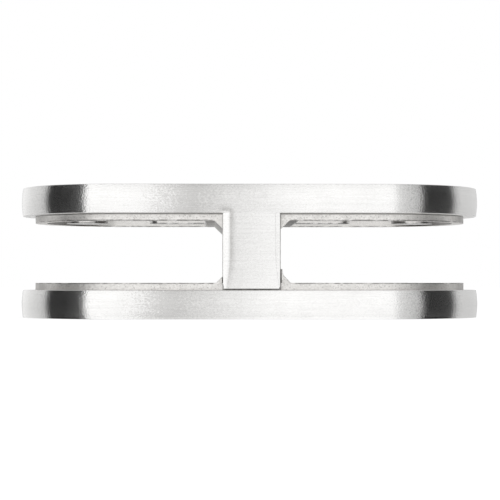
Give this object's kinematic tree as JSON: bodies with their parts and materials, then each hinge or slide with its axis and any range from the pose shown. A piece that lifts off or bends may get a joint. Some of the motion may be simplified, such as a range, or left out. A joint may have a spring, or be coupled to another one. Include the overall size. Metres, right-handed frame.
{
  "type": "glass clamp",
  "caption": "Double glass clamp with round-ended brushed steel jaws on a central web, which holds the edges of glass panes in line, with a screwed-on cover jaw.",
  "frame": {"origin": "middle of the cover's outer face, on which the clamp lies", "axes": "+X along the clamp from pane to pane, +Y across it to the rear, +Z from the cover to the upper jaw"},
  "size_m": [0.1, 0.045, 0.028],
  "materials": {
    "brushed_stainless": "cast stainless steel, brushed outside and left rough on the glass side",
    "screw_stainless": "plain stainless steel"
  },
  "bodies": {
    "cover": {"cover_plate": "brushed_stainless"},
    "jaw": {"jaw_body": "brushed_stainless"},
    "front_screw": {"screw_front": "screw_stainless"},
    "rear_screw": {"screw_rear": "screw_stainless"}
  },
  "joints": [
    {"name": "jaw_open", "type": "slide", "parent": "cover", "child": "jaw", "axis": [0, 0, 1], "range_m": [0, 0.01]},
    {"name": "front_screw_turn", "type": "hinge", "parent": "cover", "child": "front_screw", "pos_m": [0, -0.011, 0], "axis": [0, 0, -1], "range_deg": [0, 3600]},
    {"name": "rear_screw_turn", "type": "hinge", "parent": "cover", "child": "rear_screw", "pos_m": [0, 0.011, 0], "axis": [0, 0, -1], "range_deg": [0, 3600]}
  ],
  "couplings": [
    {"joint": "front_screw_turn", "follows": "jaw_open", "rad_per_m": 6283},
    {"joint": "rear_screw_turn", "follows": "jaw_open", "rad_per_m": 6283}
  ]
}
